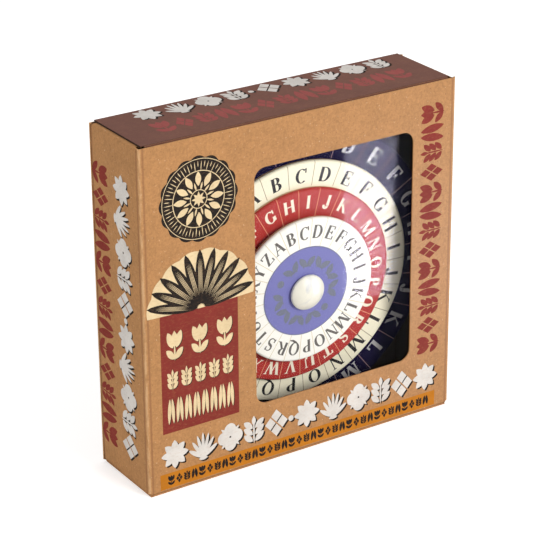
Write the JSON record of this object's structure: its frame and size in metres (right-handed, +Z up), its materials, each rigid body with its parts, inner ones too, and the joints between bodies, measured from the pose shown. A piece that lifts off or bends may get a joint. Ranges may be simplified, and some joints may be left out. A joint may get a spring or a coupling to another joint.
{
  "type": "letter wheel puzzle in window carton",
  "caption": "Upright folded carton with a filmed window in front of a stack of turning letter discs, hinged lid, tuck flap and dust flaps.",
  "frame": {"origin": "centre of the carton's underside", "axes": "+Z up, -Y towards the viewer of the windowed front, +X to the viewer's right"},
  "size_m": [0.13, 0.033, 0.13],
  "materials": {
    "kraft_board": "uncoated kraft board with fine fibres, printed in dark red, white and orange",
    "printed_board": "kraft board printed brown all over, faint sheen",
    "clear_film": "thin clear film, glossy",
    "bare_wood": "bare fine-grained board edges, light tan",
    "navy_print": "satin printed film, navy with white letters",
    "cream_print": "satin printed film, cream with black letters",
    "red_print": "satin printed film, red with cream letters",
    "white_print": "satin printed film, white with dark grey letters",
    "blue_label": "matt printed label, lavender blue with grey ornaments",
    "fibre_washer": "dark plain washer",
    "steel": "plain zinc-coated steel",
    "pearl_plastic": "glossy pearl white"
  },
  "bodies": {
    "carton": {"carton_sleeve": "kraft_board", "window_film": "clear_film", "bottom_outer_panel": "kraft_board", "bottom_inner_panel": "kraft_board", "bottom_dust_flap_left": "kraft_board", "bottom_dust_flap_right": "kraft_board", "base_disc": "bare_wood", "base_face_print": "navy_print"},
    "lid": {"top_lid": "printed_board"},
    "tuck": {"top_tuck_flap": "printed_board"},
    "flap_left": {"top_dust_flap_left": "kraft_board"},
    "flap_right": {"top_dust_flap_right": "kraft_board"},
    "cream_wheel": {"cream_disc": "bare_wood", "cream_face_print": "cream_print"},
    "red_wheel": {"red_disc": "bare_wood", "red_face_print": "red_print"},
    "white_wheel": {"white_disc": "bare_wood", "white_face_print": "white_print", "centre_label": "blue_label"},
    "pivot": {"pivot_bolt": "steel", "knob": "pearl_plastic", "back_washer": "steel", "upper_spacer": "bare_wood", "mid_washer": "fibre_washer", "lower_washer": "fibre_washer"}
  },
  "joints": [
    {"name": "lid_hinge", "type": "hinge", "parent": "carton", "child": "lid", "pos_m": [0, 0.0162, 0.1297], "axis": [-1, 0, 0], "range_deg": [0, 180]},
    {"name": "tuck_crease", "type": "hinge", "parent": "lid", "child": "tuck", "pos_m": [0, -0.01525, 0.1297], "axis": [-1, 0, 0], "range_deg": [-45, 0]},
    {"name": "flap_left_crease", "type": "hinge", "parent": "carton", "child": "flap_left", "pos_m": [-0.064, 0, 0.12835], "axis": [0, 1, 0], "range_deg": [0, 90]},
    {"name": "flap_right_crease", "type": "hinge", "parent": "carton", "child": "flap_right", "pos_m": [0.064, 0, 0.12835], "axis": [0, -1, 0], "range_deg": [0, 90]},
    {"name": "cream_spin", "type": "hinge", "parent": "carton", "child": "cream_wheel", "pos_m": [0.00436, -0.01106, 0.05995], "axis": [-0.0348, -0.9966, -0.075], "continuous": true},
    {"name": "red_spin", "type": "hinge", "parent": "carton", "child": "red_wheel", "pos_m": [0.00436, -0.01106, 0.05995], "axis": [-0.0348, -0.9966, -0.075], "continuous": true},
    {"name": "white_spin", "type": "hinge", "parent": "carton", "child": "white_wheel", "pos_m": [0.00436, -0.01106, 0.05995], "axis": [-0.0348, -0.9966, -0.075], "continuous": true},
    {"name": "pivot_spin", "type": "hinge", "parent": "carton", "child": "pivot", "pos_m": [0.00436, -0.01106, 0.05995], "axis": [-0.0348, -0.9966, -0.075], "continuous": true}
  ],
  "couplings": [
    {"joint": "tuck_crease", "follows": "lid_hinge", "ratio": -0.25}
  ]
}
